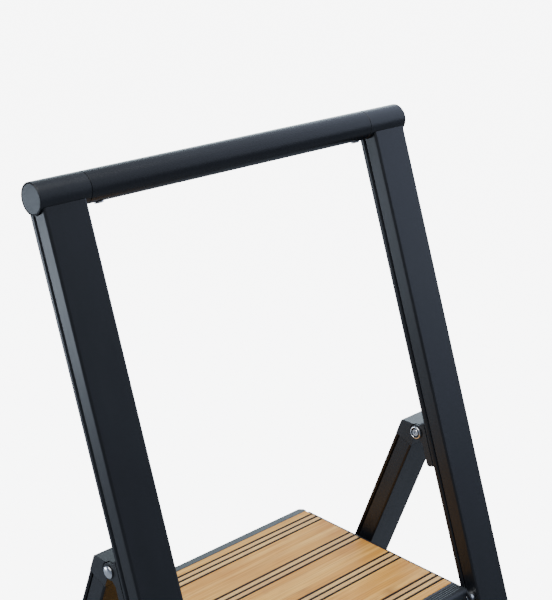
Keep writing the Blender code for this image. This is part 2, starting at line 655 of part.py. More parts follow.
for tread_name, level in (("top_tread", TREAD_LEVEL), ("lower_tread", TREAD_LEVEL - STEP_PITCH)):
    pivot_s = pivot_on_rail(level)
    pivot_y = pivot_s * math.sin(RAIL_LEAN) + PIVOT_DEPTH * math.cos(RAIL_LEAN)
    setback = pivot_y - level * math.tan(RAIL_LEAN)
    turning = empty(tread_name, (0, RAIL_Y + pivot_y, level - PIVOT_DROP))
    tread(tread_name, turning, setback)
    if tread_name == "top_tread":
        tread_catches(turning, setback)
        for side_name, side in SIDES:
            hung = empty("tie_" + side_name, (0, RAIL_Y + pivot_y + TIE_REACH,
                                              level - PIVOT_DROP - TIE_DROP))
            tie_bar(side_name, side, hung, STEP_PITCH / math.cos(RAIL_LEAN))
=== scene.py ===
"""Looks of a slim folding step stool with a hand rail and bamboo treads, in its open pose.

Metres, X across, Y to the rear, Z up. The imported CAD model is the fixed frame; each section
below dresses one piece or one group of like pieces, in the order they are put together.
"""
import json
import math

import bmesh
import bpy
from mathutils import Matrix, Vector


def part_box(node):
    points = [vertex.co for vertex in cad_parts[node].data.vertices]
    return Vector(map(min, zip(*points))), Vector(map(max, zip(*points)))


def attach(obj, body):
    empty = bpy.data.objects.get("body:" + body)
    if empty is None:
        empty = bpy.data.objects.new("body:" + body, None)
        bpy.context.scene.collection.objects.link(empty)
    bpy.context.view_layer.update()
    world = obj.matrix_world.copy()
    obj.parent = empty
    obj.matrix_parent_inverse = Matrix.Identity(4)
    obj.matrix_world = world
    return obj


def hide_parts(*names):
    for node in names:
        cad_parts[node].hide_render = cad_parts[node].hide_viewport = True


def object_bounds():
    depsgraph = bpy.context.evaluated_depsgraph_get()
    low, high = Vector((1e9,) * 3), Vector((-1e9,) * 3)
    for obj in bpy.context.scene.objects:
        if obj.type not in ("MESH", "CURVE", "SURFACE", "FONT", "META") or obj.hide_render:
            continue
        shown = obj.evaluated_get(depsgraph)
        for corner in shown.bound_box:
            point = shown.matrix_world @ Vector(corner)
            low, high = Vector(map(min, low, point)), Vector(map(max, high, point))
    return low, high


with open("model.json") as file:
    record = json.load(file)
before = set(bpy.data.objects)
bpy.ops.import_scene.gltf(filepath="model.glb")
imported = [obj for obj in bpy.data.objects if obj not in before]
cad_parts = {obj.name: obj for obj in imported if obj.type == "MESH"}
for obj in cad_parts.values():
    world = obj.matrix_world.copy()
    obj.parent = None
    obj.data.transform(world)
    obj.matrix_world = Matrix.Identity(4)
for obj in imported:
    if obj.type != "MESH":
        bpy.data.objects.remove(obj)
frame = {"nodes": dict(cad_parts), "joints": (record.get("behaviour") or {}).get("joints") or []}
cad_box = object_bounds()


# ---- Studio: camera, floor and light ----
# The camera stands to the left of the front rails, a little above the hand rail. Soft lamps
# stand overhead and at the rear on both sides. Floor and surroundings look white to the camera
# alone; for the object the surroundings are dim, and grow brighter towards the right.

joints = {joint["name"]: joint for joint in frame["joints"]}
top_pivot = Vector(joints["top_tread_fold"]["pos_m"])
lower_pivot = Vector(joints["lower_tread_fold"]["pos_m"])
rail_lean = math.atan2(top_pivot.y - lower_pivot.y, top_pivot.z - lower_pivot.z)
tread_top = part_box("top_tread_board")[1][2]
pivot_depth = 0.011
rail_front = top_pivot.y - pivot_depth / math.cos(rail_lean)
rail_front += (tread_top - top_pivot.z) * math.tan(rail_lean)

camera_data = bpy.data.cameras.new("camera")
camera_data.sensor_fit = "HORIZONTAL"
camera_data.sensor_width = 36
camera_data.lens = 90.23
camera_data.shift_x = 0.0089
camera_data.shift_y = -0.0453
camera_from_rails = (-0.8292, -0.7465, 0.7571)
camera_tilt = math.radians(90 - 18.76)
camera_heading = math.radians(-43.76)
camera = bpy.data.objects.new("camera", camera_data)
camera.location = (camera_from_rails[0], rail_front + camera_from_rails[1],
                   tread_top + camera_from_rails[2])
camera.rotation_euler = (camera_tilt, 0, camera_heading)
bpy.context.collection.objects.link(camera)
bpy.context.scene.camera = camera

white_for_camera = 7.5
floor_half = 30
floor_mesh = bmesh.new()
bmesh.ops.create_grid(floor_mesh, x_segments=1, y_segments=1, size=floor_half)
floor_data = bpy.data.meshes.new("floor")
floor_mesh.to_mesh(floor_data)
floor_mesh.free()
floor = bpy.data.objects.new("floor", floor_data)
floor.location.z = cad_box[0][2] - 0.0002
bpy.context.collection.objects.link(floor)
floor_finish = bpy.data.materials.new("pale_floor")
floor_finish.use_nodes = True
floor_shader = floor_finish.node_tree.nodes["Principled BSDF"]
floor_shader.inputs["Base Color"].default_value = (0.26, 0.28, 0.31, 1)
floor_shader.inputs["Roughness"].default_value = 0.9
floor_shader.inputs["Specular IOR Level"].default_value = 0.1
floor_shader.inputs["Emission Color"].default_value = (1, 1, 1, 1)
floor_path = floor_finish.node_tree.nodes.new("ShaderNodeLightPath")
floor_glow = floor_finish.node_tree.nodes.new("ShaderNodeMath")
floor_glow.operation = "MULTIPLY"
floor_glow.inputs[1].default_value = white_for_camera
floor_finish.node_tree.links.new(floor_path.outputs["Is Camera Ray"], floor_glow.inputs[0])
floor_finish.node_tree.links.new(floor_glow.outputs["Value"],
                                 floor_shader.inputs["Emission Strength"])
floor_data.materials.append(floor_finish)


def lamp(name, place, aim, width, height, power, colour=(1, 1, 1)):
    """A rectangular lamp turned towards aim, out of the camera's sight."""
    light = bpy.data.lights.new(name, "AREA")
    light.color = colour
    light.shape = "RECTANGLE"
    light.size = width
    light.size_y = height
    light.energy = power
    holder = bpy.data.objects.new(name, light)
    holder.location = place
    holder.rotation_euler = (Vector(aim) - Vector(place)).to_track_quat("-Z", "Y").to_euler()
    holder.visible_camera = False
    bpy.context.collection.objects.link(holder)


lamp("overhead_lamp", place=(-0.6, -0.4, 3.0), aim=(0, 0, 0.5), width=2.4, height=2.4,
     power=105)
lamp("left_lamp", place=(-1.30, 1.65, 0.28), aim=(-0.2, -0.1, 0.8), width=0.7, height=0.45,
     power=11, colour=(0.76, 0.87, 1.0))
lamp("rear_lamp", place=(1.5, 1.6, 1.35), aim=(0, 0, 0.5), width=1.2, height=0.7, power=12,
     colour=(0.78, 0.95, 1.0))

world = bpy.data.worlds.new("studio")
bpy.context.scene.world = world
world.use_nodes = True
world_nodes = world.node_tree.nodes
world_links = world.node_tree.links
background = world_nodes["Background"]
background.inputs["Strength"].default_value = 1.0
coordinate = world_nodes.new("ShaderNodeTexCoord")
facing = world_nodes.new("ShaderNodeVectorMath")
facing.operation = "DOT_PRODUCT"
facing.inputs[1].default_value = (1, 0, 0)
world_links.new(coordinate.outputs["Generated"], facing.inputs[0])
surroundings = world_nodes.new("ShaderNodeValToRGB")
surroundings.color_ramp.elements[0].position = 0.50
surroundings.color_ramp.elements[0].color = (0.25, 0.28, 0.34, 1)
surroundings.color_ramp.elements[1].position = 0.86
surroundings.color_ramp.elements[1].color = (2.30, 2.65, 3.60, 1)
for place, colour in ((0.66, (0.62, 0.70, 0.82, 1)), (0.74, (1.35, 1.50, 1.90, 1))):
    surroundings.color_ramp.elements.new(place).color = colour
world_links.new(facing.outputs["Value"], surroundings.inputs["Fac"])
light_path = world_nodes.new("ShaderNodeLightPath")
seen = world_nodes.new("ShaderNodeMix")
seen.data_type = "RGBA"
seen.inputs["B"].default_value = (white_for_camera, white_for_camera, white_for_camera, 1)
world_links.new(light_path.outputs["Is Camera Ray"], seen.inputs["Factor"])
world_links.new(surroundings.outputs["Color"], seen.inputs["A"])
world_links.new(seen.outputs["Result"], background.inputs["Color"])


# ---- Rails ----
# Two flat hollow bars of black anodised aluminium, extruded with one groove down each side.
# They stand on the front feet, lean back, and end against the hand rail.

def new_material(name, colour, roughness, metallic=0.0):
    """A material with a Principled shader, returned with its nodes and links."""
    material = bpy.data.materials.new(name)
    material.use_nodes = True
    tree = material.node_tree
    shader = tree.nodes["Principled BSDF"]
    shader.inputs["Base Color"].default_value = (*colour, 1)
    shader.inputs["Roughness"].default_value = roughness
    shader.inputs["Metallic"].default_value = metallic
    return material, tree, shader


def new_group(name, inputs, outputs):
    """A shader node group with float sockets, but a vector for Position and colours by name."""
    group = bpy.data.node_groups.new(name, "ShaderNodeTree")
    for socket_name, value in inputs:
        kind = "NodeSocketVector" if socket_name == "Position" else "NodeSocketFloat"
        kind = "NodeSocketColor" if socket_name.endswith("Colour") else kind
        socket = group.interface.new_socket(socket_name, in_out="INPUT", socket_type=kind)
        if value is not None:
            socket.default_value = value
    for socket_name in outputs:
        kind = "NodeSocketColor" if socket_name.endswith("Colour") else "NodeSocketFloat"
        group.interface.new_socket(socket_name, in_out="OUTPUT", socket_type=kind)
    return group, group.nodes.new("NodeGroupInput"), group.nodes.new("NodeGroupOutput")


def place_group(tree, group, values):
    """The group as a node, with these values on its inputs."""
    node = tree.nodes.new("ShaderNodeGroup")
    node.node_tree = group
    for socket_name, value in values.items():
        node.inputs[socket_name].default_value = value
    return node


def math_node(tree, operation, first, second=None, third=None, clamp=False):
    """A Math node on sockets or plain numbers; returns its output."""
    node = tree.nodes.new("ShaderNodeMath")
    node.operation = operation
    node.use_clamp = clamp
    for slot_number, value in enumerate((first, second, third)):
        if isinstance(value, bpy.types.NodeSocket):
            tree.links.new(value, node.inputs[slot_number])
        elif value is not None:
            node.inputs[slot_number].default_value = value
    return node.outputs["Value"]


def noise(tree, position, scale, detail=2.0, roughness=0.5):
    """A noise value from 0 to 1 at a position."""
    node = tree.nodes.new("ShaderNodeTexNoise")
    node.inputs["Scale"].default_value = scale
    node.inputs["Detail"].default_value = detail
    node.inputs["Roughness"].default_value = roughness
    tree.links.new(position, node.inputs["Vector"])
    return node.outputs["Fac"]


def mapped(tree, position, scale=(1, 1, 1), rotation=(0, 0, 0), location=(0, 0, 0)):
    """A position stretched, turned and moved."""
    node = tree.nodes.new("ShaderNodeMapping")
    node.inputs["Scale"].default_value = scale
    node.inputs["Rotation"].default_value = rotation
    node.inputs["Location"].default_value = location
    tree.links.new(position, node.inputs["Vector"])
    return node.outputs["Vector"]


def object_position(tree, rotation=(0, 0, 0), location=(0, 0, 0)):
    """The position in the frame's own metres, turned and moved."""
    coordinates = tree.nodes.new("ShaderNodeTexCoord")
    return mapped(tree, coordinates.outputs["Object"], rotation=rotation, location=location)


def mix_colours(tree, factor, first, second):
    """From the first colour at factor 0 to the second at 1; each a socket or plain values."""
    node = tree.nodes.new("ShaderNodeMix")
    node.data_type = "RGBA"
    for socket_name, value in (("Factor", factor), ("A", first), ("B", second)):
        socket = node.inputs[socket_name]
        if isinstance(value, bpy.types.NodeSocket):
            tree.links.new(value, socket)
        elif socket_name == "Factor":
            socket.default_value = value
        else:
            socket.default_value = (*value, 1)
    return node.outputs["Result"]


def bump(tree, shader, height, distance, strength):
    """Relief from a height of 0 to 1 over this distance in metres."""
    node = tree.nodes.new("ShaderNodeBump")
    node.inputs["Distance"].default_value = distance
    node.inputs["Strength"].default_value = strength
    tree.links.new(height, node.inputs["Height"])
    tree.links.new(node.outputs["Normal"], shader.inputs["Normal"])


# drawn lines that run along Z of the position, with soft smudges over them
drawn_lines, lines_in, lines_out = new_group(
    "drawn_lines", [("Position", None), ("Fineness", 1400.0)], ["Lines", "Smudges"])
stretched = mapped(drawn_lines, lines_in.outputs["Position"], scale=(1, 1, 0.012))
line_noise = drawn_lines.nodes.new("ShaderNodeTexNoise")
line_noise.inputs["Detail"].default_value = 3
drawn_lines.links.new(stretched, line_noise.inputs["Vector"])
drawn_lines.links.new(lines_in.outputs["Fineness"], line_noise.inputs["Scale"])
drawn_lines.links.new(line_noise.outputs["Fac"], lines_out.inputs["Lines"])
smudges = noise(drawn_lines, mapped(drawn_lines, lines_in.outputs["Position"],
                                    scale=(1, 1, 0.35)), 26, 4, 0.6)
drawn_lines.links.new(smudges, lines_out.inputs["Smudges"])


def anodised(name, rotation, roughness=0.34):
    """Black anodised aluminium whose drawn lines run along Z after the rotation."""
    material, tree, shader = new_material(name, (0.007, 0.008, 0.010), roughness)
    lines = place_group(tree, drawn_lines, {"Fineness": 1500.0})
    tree.links.new(object_position(tree, rotation), lines.inputs["Position"])
    colour = mix_colours(tree, lines.outputs["Smudges"], (0.0045, 0.0050, 0.0062),
                         (0.0090, 0.0105, 0.0135))
    tree.links.new(colour, shader.inputs["Base Color"])
    uneven = math_node(tree, "MULTIPLY_ADD", lines.outputs["Smudges"], 0.10, roughness - 0.05)
    rough = math_node(tree, "MULTIPLY_ADD", lines.outputs["Lines"], 0.10, uneven)
    tree.links.new(rough, shader.inputs["Roughness"])
    shader.inputs["Specular IOR Level"].default_value = 0.34
    bump(tree, shader, lines.outputs["Lines"], 0.00004, 0.5)
    return material


def add_piece(name, solid, material, body, *nodes, like=None):
    """Make a finished mesh a piece that rides on a body and stands for CAD nodes.

    The like argument is not used.
    """
    mesh = bpy.data.meshes.new(name)
    solid.to_mesh(mesh)
    solid.free()
    mesh.shade_smooth()
    mesh.set_sharp_from_angle(angle=math.radians(32))
    piece = bpy.data.objects.new(name, mesh)
    bpy.context.collection.objects.link(piece)
    mesh.materials.append(material)
    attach(piece, body)
    if nodes:
        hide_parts(*nodes)
    return piece


def merged_copy(node):
    """A CAD node's shape as one skin with its flat faces whole."""
    solid = bmesh.new()
    solid.from_mesh(frame["nodes"][node].data)
    bmesh.ops.remove_doubles(solid, verts=solid.verts, dist=0.00001)
    bmesh.ops.dissolve_limit(solid, angle_limit=math.radians(0.5), verts=solid.verts,
                             edges=solid.edges)
    for face in solid.faces:
        face.material_index = 0
    return solid


def soften(piece, width, segments=2):
    """Break the sharp edges, then keep the flat faces shading flat."""
    if width:
        rounding = piece.modifiers.new("softened_edges", "BEVEL")
        rounding.width = width
        rounding.segments = segments
        rounding.limit_method = "ANGLE"
        rounding.angle_limit = math.radians(40)
    flatness = piece.modifiers.new("flat_faces", "WEIGHTED_NORMAL")
    flatness.keep_sharp = True
    flatness.weight = 100


rail_finish = anodised("anodised_rail", (rail_lean, 0, 0))
for side_name in ("left", "right"):
    rail = add_piece("dressed_rail_" + side_name, merged_copy("rail_" + side_name), rail_finish,
                     "front_frame", "rail_" + side_name)
    soften(rail, 0)


# ---- Hand rail ----
# A round black tube between two moulded connectors. Each connector plugs into a rail's top
# end and is closed by a flat disc; one screw from below holds the tube on its spigot.

def spun(profile, steps=64):
    """Turn (distance, radius) points about X."""
    solid = bmesh.new()
    chain = [solid.verts.new((along, 0, radius)) for along, radius in profile]
    edges = [solid.edges.new(pair) for pair in zip(chain, chain[1:])]
    bmesh.ops.spin(solid, geom=chain + edges, axis=(1, 0, 0), cent=(0, 0, 0),
                   angle=math.tau, steps=steps, use_merge=True)
    bmesh.ops.remove_doubles(solid, verts=solid.verts, dist=0.000001)
    bmesh.ops.recalc_face_normals(solid, faces=solid.faces)
    return solid


def put(solid, place, turn=None, mirrored=False):
    """Move a shape made about the origin to its place, turned or mirrored across X first."""
    if mirrored:
        bmesh.ops.scale(solid, vec=(-1, 1, 1), verts=solid.verts)
        bmesh.ops.reverse_faces(solid, faces=solid.faces)
    if turn is not None:
        bmesh.ops.rotate(solid, verts=solid.verts, matrix=turn, cent=(0, 0, 0))
    bmesh.ops.translate(solid, verts=solid.verts, vec=place)
    return solid


def centre(node):
    """The middle of a CAD node's box."""
    low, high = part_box(node)
    return Vector([(a + b) / 2 for a, b in zip(low, high)])


def fastener(profile, socket, depth, steps=40):
    """A turned head facing +X, its last point the rim of a hexagon socket of this depth."""
    solid = spun(profile, steps)
    rim_along = profile[-1][0]
    rim = [edge for edge in solid.edges if edge.is_boundary]
    made = bmesh.ops.create_circle(solid, segments=6, radius=socket)["verts"]
    bmesh.ops.rotate(solid, verts=made, matrix=Matrix.Rotation(math.pi / 2, 3, "Y"),
                     cent=(0, 0, 0))
    bmesh.ops.translate(solid, verts=made, vec=(rim_along, 0, 0))
    mouth = list({edge for vert in made for edge in vert.link_edges})
    bmesh.ops.bridge_loops(solid, edges=rim + mouth)
    sunk = bmesh.ops.extrude_edge_only(solid, edges=mouth)["geom"]
    sunk_verts = [item for item in sunk if isinstance(item, bmesh.types.BMVert)]
    sunk_edges = [item for item in sunk if isinstance(item, bmesh.types.BMEdge)]
    bmesh.ops.translate(solid, verts=sunk_verts, vec=(-depth, 0, 0))
    bmesh.ops.contextual_create(solid, geom=sunk_edges)
    bmesh.ops.recalc_face_normals(solid, faces=solid.faces)
    return solid


head_edge = 0.0007


def domed(head, dome, shank, length, socket, chamfer=0.0002):
    """A domed head's profile: shank, seat at 0, edge, and dome in to the socket's rim."""
    profile = [(-length, 0), (-length, shank), (0, shank), (0, head - chamfer),
               (chamfer, head), (head_edge, head)]
    rings = 9
    land_round_socket = 1.25
    for ring in range(1, rings):
        angle = math.radians(90 * ring / rings)
        if head * math.cos(angle) > socket * land_round_socket:
            profile.append((head_edge + dome * math.sin(angle), head * math.cos(angle)))
    return profile


# fine grains of a surface, over a slight waviness of its tone and gloss
moulded_grain, grain_in, grain_out = new_group(
    "moulded_grain", [("Position", None), ("Grain", 2600.0)], ["Height", "Mottle"])
fine_grain = moulded_grain.nodes.new("ShaderNodeTexNoise")
fine_grain.inputs["Detail"].default_value = 2
moulded_grain.links.new(grain_in.outputs["Position"], fine_grain.inputs["Vector"])
moulded_grain.links.new(grain_in.outputs["Grain"], fine_grain.inputs["Scale"])
moulded_grain.links.new(fine_grain.outputs["Fac"], grain_out.inputs["Height"])
moulded_grain.links.new(noise(moulded_grain, grain_in.outputs["Position"], 55, 3, 0.6),
                        grain_out.inputs["Mottle"])


def grained(name, dark, light, roughness, grain=2600.0, depth=0.00002, strength=0.4,
            gloss_range=0.12, specular=0.36, metallic=0.0):
    """A material with fine grain, its tone and gloss a little uneven, by default a moulding."""
    material, tree, shader = new_material(name, dark, roughness, metallic)
    texture = place_group(tree, moulded_grain, {"Grain": grain})
    tree.links.new(object_position(tree), texture.inputs["Position"])
    tree.links.new(mix_colours(tree, texture.outputs["Mottle"], dark, light),
                   shader.inputs["Base Color"])
    tree.links.new(math_node(tree, "MULTIPLY_ADD", texture.outputs["Mottle"], gloss_range,
                             roughness - gloss_range / 2), shader.inputs["Roughness"])
    shader.inputs["Specular IOR Level"].default_value = specular
    bump(tree, shader, texture.outputs["Height"], depth, strength)
    return material


hand_rail = centre("handle_tube")
tube_low, tube_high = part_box("handle_tube")
tube_radius = (tube_high[2] - tube_low[2]) / 2
tube_end = tube_high[0]
connector_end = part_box("handle_connector_right")[1][0]
tube_wall = 0.0015
broken_edge = 0.0002
round_steps = 96
tube_finish = anodised("anodised_tube", (0, math.radians(90), 0), 0.30)
connector_finish = grained("moulded_connector", (0.0065, 0.0075, 0.0095),
                           (0.0095, 0.011, 0.014), 0.38)
# the end discs are the connectors' black moulding made lighter and bluer: a painted reflection of
# the bright surroundings to the left
disc_painted_reflection = grained("moulded_disc_painted_reflection", (0.026, 0.032, 0.038), (0.031, 0.038, 0.046), 0.45)
tube_profile = [(-tube_end, tube_radius - tube_wall), (-tube_end, tube_radius - broken_edge),
                (broken_edge - tube_end, tube_radius), (tube_end - broken_edge, tube_radius),
                (tube_end, tube_radius - broken_edge), (tube_end, tube_radius - tube_wall)]
add_piece("hand_tube", put(spun(tube_profile, round_steps), hand_rail), tube_finish,
          "front_frame", "handle_tube")
steel = grained("zinc_plated_steel", (0.62, 0.63, 0.65), (0.72, 0.73, 0.74), 0.20,
                grain=1800.0, strength=0.25, gloss_range=0.08, specular=0.5, metallic=1.0)
seam = 0.0004
recess = 0.0012
recess_floor = connector_end - recess
disc_gap = 0.0002
disc_radius = tube_radius - recess - disc_gap
screw_socket = 0.0013
upright = Matrix.Rotation(math.radians(90), 3, "Y")
for side_name, mirrored in (("left", True), ("right", False)):
    start = tube_end + seam
    # broken edge at the seam, rounded rim, and the recess that holds the disc
    sleeve = spun([(start, 0), (start, tube_radius - 0.0003), (start + 0.0003, tube_radius),
                   (connector_end - 0.0005, tube_radius),
                   (connector_end - 0.0001, tube_radius - 0.0003),
                   (connector_end, tube_radius - 0.0007),
                   (connector_end - 0.0001, tube_radius - 0.0010),
                   (connector_end - 0.0004, tube_radius - recess),
                   (recess_floor, tube_radius - recess), (recess_floor, 0)], round_steps)
    add_piece("connector_sleeve_" + side_name,
              put(sleeve, (0, hand_rail.y, hand_rail.z), mirrored=mirrored), connector_finish,
              "front_frame", "handle_connector_" + side_name)
    disc_face = connector_end - 0.0003
    disc = spun([(recess_floor - 0.0005, 0), (recess_floor - 0.0005, disc_radius),
                 (disc_face - 0.0003, disc_radius), (disc_face, disc_radius - 0.0003),
                 (disc_face, 0)], round_steps)
    add_piece("connector_disc_" + side_name,
              put(disc, (0, hand_rail.y, hand_rail.z), mirrored=mirrored), disc_painted_reflection,
              "front_frame", like="handle_connector_" + side_name)
    node = "handle_screw_" + side_name
    low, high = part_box(node)
    down = Matrix.Rotation(-rail_lean, 3, "X") @ upright
    seat = hand_rail - Matrix.Rotation(-rail_lean, 3, "X") @ Vector((0, 0, tube_radius))
    seat.x = (low[0] + high[0]) / 2
    add_piece("screw_under_rail_" + side_name,
              put(fastener(domed(head=0.0042, dome=0.0010, shank=0.0015, length=0.004,
                                 socket=screw_socket), screw_socket, 0.0010), seat, down),
              steel, "front_frame", node)


# ---- Front feet and cross bar ----
# Black rubber shoes on the rails' lower ends, and a flat hollow bar between the rails just
# above them, held by a socket screw through each rail.

rubber = grained("black_rubber", (0.011, 0.011, 0.012), (0.026, 0.026, 0.027), 0.72,
                 grain=900.0, depth=0.00008, strength=0.5, gloss_range=0.0, specular=0.5)


def cut_grooves(solid, across, levels, half_width, sunk):
    """Cut V grooves where planes at these levels cross a direction.

    sunk gives the move of each point on a groove's middle line.
    """
    across = Vector(across)
    for level in levels:
        for offset in (-half_width, 0, half_width):
            bmesh.ops.bisect_plane(solid, geom=solid.verts[:] + solid.edges[:] + solid.faces[:],
                                   dist=0.000001, plane_co=across * (level + offset),
                                   plane_no=across)
    for level in levels:
        middle = [vert for vert in solid.verts
                  if abs(vert.co.dot(across) - level) < 0.00001]
        moves = [(vert, sunk(vert.co, middle)) for vert in middle]
        for vert, move in moves:
            vert.co += move


def inward(point, ring, depth=0.0006, wall=0.0012):
    """How far a point of a shoe's outer wall moves towards the shoe's middle."""
    move = Vector((0, 0, 0))
    for axis in (0, 1):
        low = min(vert.co[axis] for vert in ring)
        high = max(vert.co[axis] for vert in ring)
        if point[axis] < low + wall:
            move[axis] = depth
        elif point[axis] > high - wall:
            move[axis] = -depth
    return move


first_groove = 0.0045
groove_pitch = 0.0034
groove_half = 0.0007
groove_count = 4
shoe_grooves = [first_groove + groove_pitch * number for number in range(groove_count)]
across_finish = anodised("anodised_cross_bar", (0, math.radians(90), 0), 0.36)
for side_name in ("left", "right"):
    shoe_solid = merged_copy("front_foot_" + side_name)
    cut_grooves(shoe_solid, (0, 0, 1), shoe_grooves, groove_half, inward)
    foot = add_piece("shoe_front_" + side_name, shoe_solid, rubber, "front_frame",
                     "front_foot_" + side_name)
    soften(foot, 0.0003, 1)
bar = add_piece("cross_bar", merged_copy("front_cross_bar"), across_finish, "front_frame",
                "front_cross_bar")
soften(bar, 0.0003)


def side_fasteners(prefix, profile, socket, depth, body, head_inside=False, groove=None):
    """The same fastener at a CAD node on each side, its head on the outer or inner face.

    groove is the inner radius, outer radius and upper limit of a groove, and the dark material
    that paints shade on its faces.
    """
    for side_name, outward in (("left", -1), ("right", 1)):
        node = prefix + "_" + side_name
        low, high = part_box(node)
        place = centre(node)
        head_up = outward * (-1 if head_inside else 1)
        head_height = max(along for along, _ in profile)
        place.x = high[0] - head_height if head_up > 0 else low[0] + head_height
        shape = fastener(profile, socket, depth) if socket else spun(profile)
        if groove:
            inner, outer, top, painted_groove_shade = groove
            for face in shape.faces:
                middle = face.calc_center_median()
                if inner < math.hypot(middle.y, middle.z) < outer and 0 < middle.x < top:
                    face.material_index = 1
        piece = add_piece("dressed_" + node, put(shape, place, mirrored=head_up < 0), steel,
                          body, node)
        if groove:
            piece.data.materials.append(painted_groove_shade)


frame_screw_socket = 0.0017
frame_screw_depth = 0.0016
screw_profile = domed(head=0.0048, dome=0.0017, shank=0.0024, length=0.045,
                      socket=frame_screw_socket)
side_fasteners("cross_bar_screw", screw_profile, frame_screw_socket, frame_screw_depth,
               "front_frame")


# ---- Hinges ----
# A moulded bracket behind each rail, riveted once, with two cheeks. A domed bolt from outside
# screws into a sleeve nut from inside, and the rear leg turns on them between the cheeks.

bracket_finish = grained("moulded_bracket", (0.0075, 0.008, 0.0095), (0.011, 0.012, 0.014), 0.42)
for side_name in ("left", "right"):
    bracket = add_piece("bracket_" + side_name, merged_copy("hinge_bracket_" + side_name),
                        bracket_finish, "front_frame", "hinge_bracket_" + side_name)
    soften(bracket, 0.0004)
    rivet = add_piece("dressed_bracket_rivet_" + side_name,
                      merged_copy("bracket_rivet_" + side_name), steel, "front_frame",
                      "bracket_rivet_" + side_name)
    soften(rivet, 0)
bolt_dome = 0.0018
bolt_profile = domed(head=0.0058, dome=bolt_dome, shank=0.0039, length=0.014, socket=0)
bolt_profile.append((head_edge + bolt_dome, 0))
side_fasteners("pivot_bolt", bolt_profile, socket=0, depth=0, body="front_frame")
nut_profile = [(-0.010, 0), (-0.010, 0.0039), (0, 0.0039), (0, 0.0065), (0.0002, 0.0067),
               (0.0014, 0.0067), (0.0019, 0.0064), (0.0021, 0.0060), (0.0021, 0.0055),
               (0.0018, 0.0052), (0.0003, 0.0051), (0.0003, 0.0038), (0.0016, 0.0037),
               (0.0020, 0.0034), (0.0020, 0.0026)]
# the nut's groove faces take the dark bracket moulding: painted shade in the groove
side_fasteners("pivot_nut", nut_profile, socket=0.0021, depth=0.0014, body="front_frame",
               head_inside=True, groove=(0.0037, 0.0053, 0.0019, bracket_finish))


# ---- Rear legs ----
# Two hollow bars of the same drawing as the rails, a little thinner. A moulded cap closes each
# top end and turns on the hinge sleeve in a nylon bush; rubber shoes close the lower ends.

leg_lean = math.radians(joints["rear_frame_fold"]["range_deg"][1]) - rail_lean
leg_finish = anodised("anodised_leg", (-leg_lean, 0, 0))
cap_finish = grained("moulded_cap", (0.009, 0.010, 0.012), (0.013, 0.0145, 0.0175), 0.36)
nylon = grained("dark_nylon", (0.055, 0.056, 0.058), (0.080, 0.081, 0.083), 0.46,
                grain=1400.0)
for side_name in ("left", "right"):
    leg = add_piece("dressed_leg_" + side_name, merged_copy("leg_" + side_name), leg_finish,
                    "rear_frame", "leg_" + side_name)
    soften(leg, 0)
    cap = add_piece("cap_" + side_name, merged_copy("leg_cap_" + side_name), cap_finish,
                    "rear_frame", "leg_cap_" + side_name)
    soften(cap, 0.0008, 3)
    add_piece("bush_" + side_name, merged_copy("hinge_bush_" + side_name), nylon, "rear_frame",
              "hinge_bush_" + side_name)
    shoe_solid = merged_copy("rear_foot_" + side_name)
    cut_grooves(shoe_solid, (0, 0, 1), shoe_grooves, groove_half, inward)
    shoe = add_piece("shoe_rear_" + side_name, shoe_solid, rubber, "rear_frame",
                     "rear_foot_" + side_name)
    soften(shoe, 0.0003, 1)


# ---- Rear cross tubes ----
# Two round black tubes between the legs, one under the top tread and one near the feet, each
# held by a socket screw through either leg.

for tube_name in ("upper", "lower"):
    cross_tube = add_piece("dressed_" + tube_name + "_tube",
                           merged_copy(tube_name + "_cross_tube"), across_finish, "rear_frame",
                           tube_name + "_cross_tube")
    soften(cross_tube, 0)
    side_fasteners(tube_name + "_tube_screw", screw_profile, frame_screw_socket,
                   frame_screw_depth, "rear_frame")


# ---- Tread boards ----
# Laminated bamboo, clear lacquered, with its strips side by side across the stool. Four
# bands of three slots take the grip strips; between these slots the wood is finely stippled.

lamella_width = 0.0195
stippled_half = 0.0072
bamboo_grain, bamboo_in, bamboo_out = new_group(
    "bamboo_grain", [("Position", None), ("Lamella", lamella_width)],
    ["Wood Colour", "Fibres", "Joints"])
wood_place = bamboo_in.outputs["Position"]
wood_split = bamboo_grain.nodes.new("ShaderNodeSeparateXYZ")
bamboo_grain.links.new(wood_place, wood_split.inputs["Vector"])
lamella_place = math_node(bamboo_grain, "DIVIDE", wood_split.outputs["Y"],
                          bamboo_in.outputs["Lamella"])
lamella_number = math_node(bamboo_grain, "FLOOR", lamella_place)


def random_for(number, seed):
    """One random value per whole number."""
    node = bamboo_grain.nodes.new("ShaderNodeTexWhiteNoise")
    node.noise_dimensions = "1D"
    bamboo_grain.links.new(math_node(bamboo_grain, "ADD", number, seed), node.inputs["W"])
    return node.outputs["Value"]


def wood_noise(along, across, detail, roughness=0.5):
    """Noise in the wood, with its fineness along and across the fibres."""
    stretched_place = mapped(bamboo_grain, wood_place, scale=(along, across, across))
    return noise(bamboo_grain, stretched_place, 1.0, detail, roughness)


def raised(mask, gain, offset):
    """A mask with more contrast, held between 0 and 1."""
    return math_node(bamboo_grain, "MULTIPLY_ADD", mask, gain, offset, clamp=True)


wandering = wood_noise(7, 30, 2)
fibres = wood_noise(9, 620, 3, 0.62)
streaks = wood_noise(3.5, 120, 3)
blotches = wood_noise(8, 16, 3)
knots = wood_noise(26, 52, 1)

